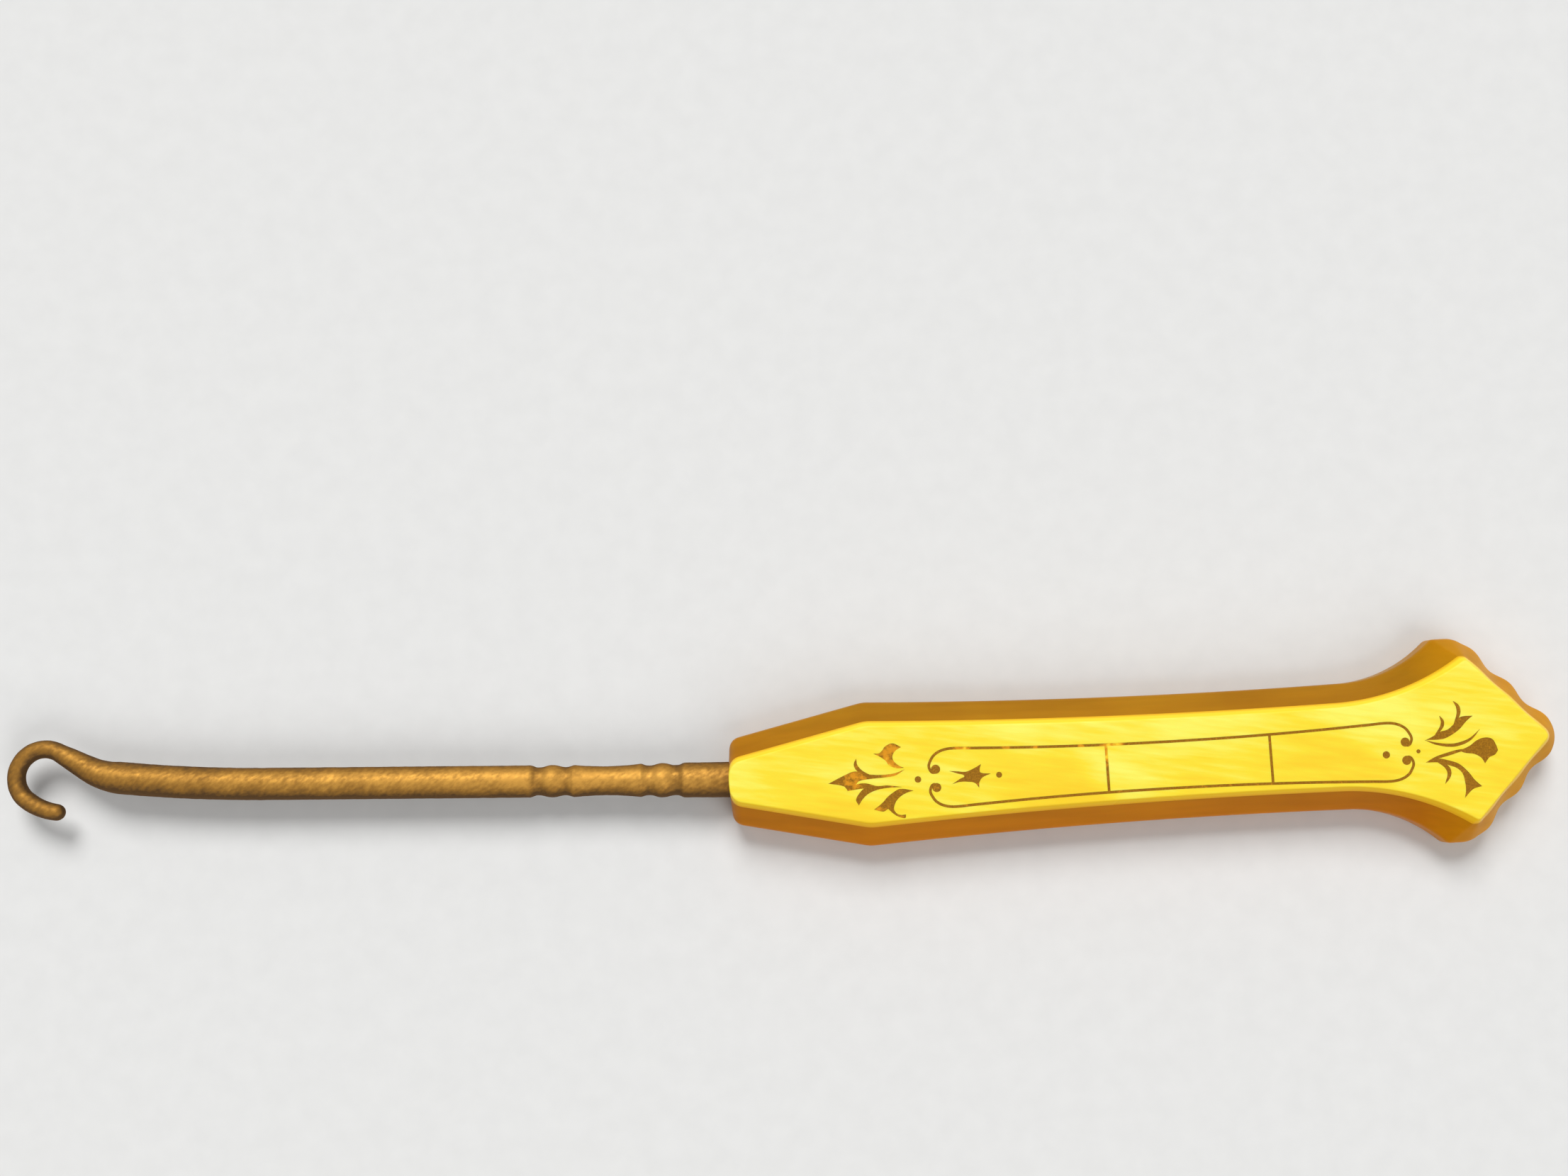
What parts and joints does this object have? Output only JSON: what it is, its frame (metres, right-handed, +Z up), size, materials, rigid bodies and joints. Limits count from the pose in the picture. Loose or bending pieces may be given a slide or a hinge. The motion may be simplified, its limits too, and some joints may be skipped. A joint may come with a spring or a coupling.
{
  "type": "button hook",
  "caption": "Long steel button hook with a turned neck and a curled end, set in a flat bevelled celluloid handle with a pearl face and a flared, scalloped butt.",
  "frame": {"origin": "on the flat back of the handle, under the middle of the overall length", "axes": "+X from the hook towards the butt of the handle, +Y across the handle to the side the hook lifts towards, +Z up from the flat back through the pearl face"},
  "size_m": [0.19, 0.025, 0.008],
  "materials": {
    "hook_steel": "drawn steel with a worn golden brown patina",
    "amber_celluloid": "polished translucent amber",
    "pearl_celluloid": "polished yellow pearl with soft streaks"
  },
  "bodies": {
    "root": {"steel_hook": "hook_steel", "amber_body": "amber_celluloid", "pearl_face": "pearl_celluloid"}
  },
  "joints": []
}
